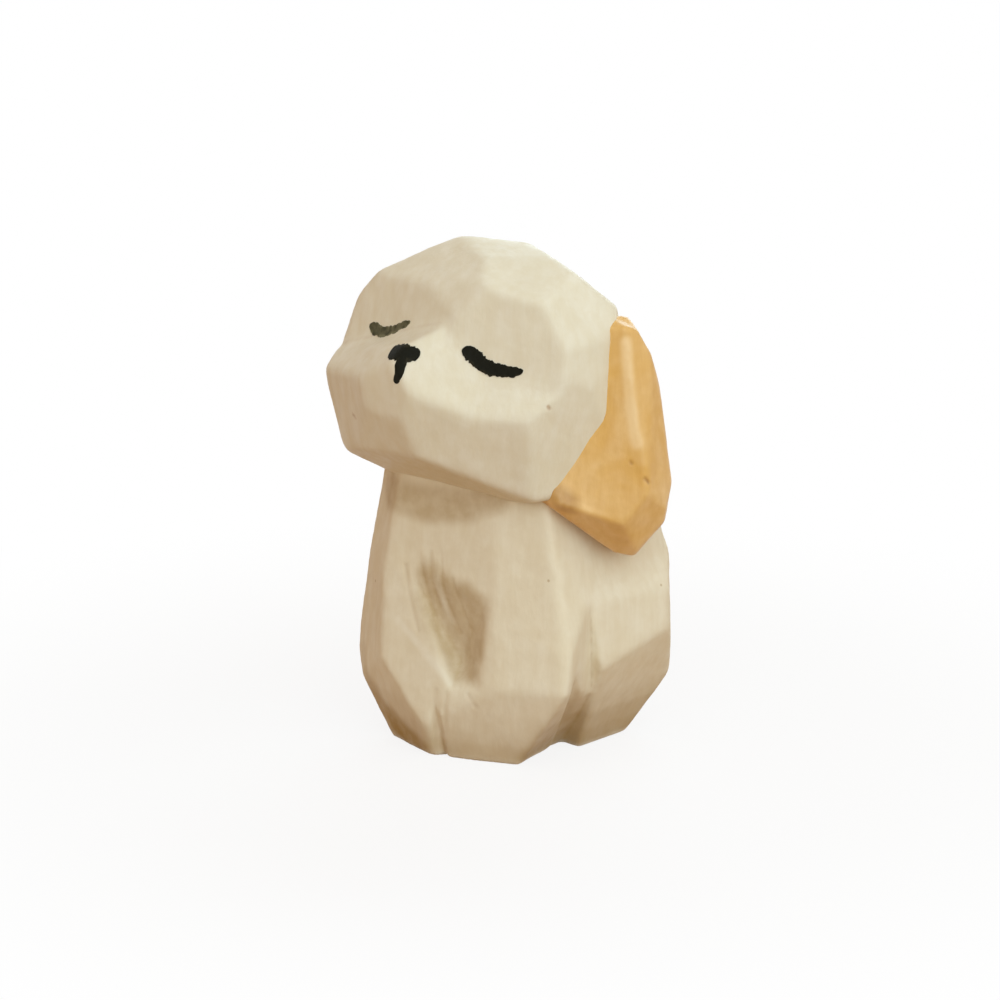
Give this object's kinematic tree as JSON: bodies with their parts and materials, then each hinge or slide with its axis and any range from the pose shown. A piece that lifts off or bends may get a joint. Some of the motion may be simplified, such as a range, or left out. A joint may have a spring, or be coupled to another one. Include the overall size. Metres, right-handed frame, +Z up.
{
  "type": "carved wooden dog figurine",
  "caption": "Small sitting dog carved in wood with flat knife cuts: round head, hanging ochre ears, closed painted eyes, hollowed chest and a flat base.",
  "frame": {"origin": "centre of the bounding box at the height of the base, on the surface that the figurine stands on", "axes": "+Z up, the dog faces -Y and its left side is +X"},
  "size_m": [0.0436, 0.0394, 0.061],
  "materials": {
    "cream_painted_wood": "satin",
    "ochre_painted_wood": "satin",
    "black_paint": "satin paint",
    "thin_olive_paint": "thin satin paint"
  },
  "bodies": {
    "root": {"torso": "cream_painted_wood", "head": "cream_painted_wood", "ear_left": "ochre_painted_wood", "ear_right": "ochre_painted_wood", "tail": "cream_painted_wood", "eye_left": "black_paint", "eye_right": "thin_olive_paint", "nose": "black_paint", "mouth": "black_paint"}
  },
  "joints": []
}
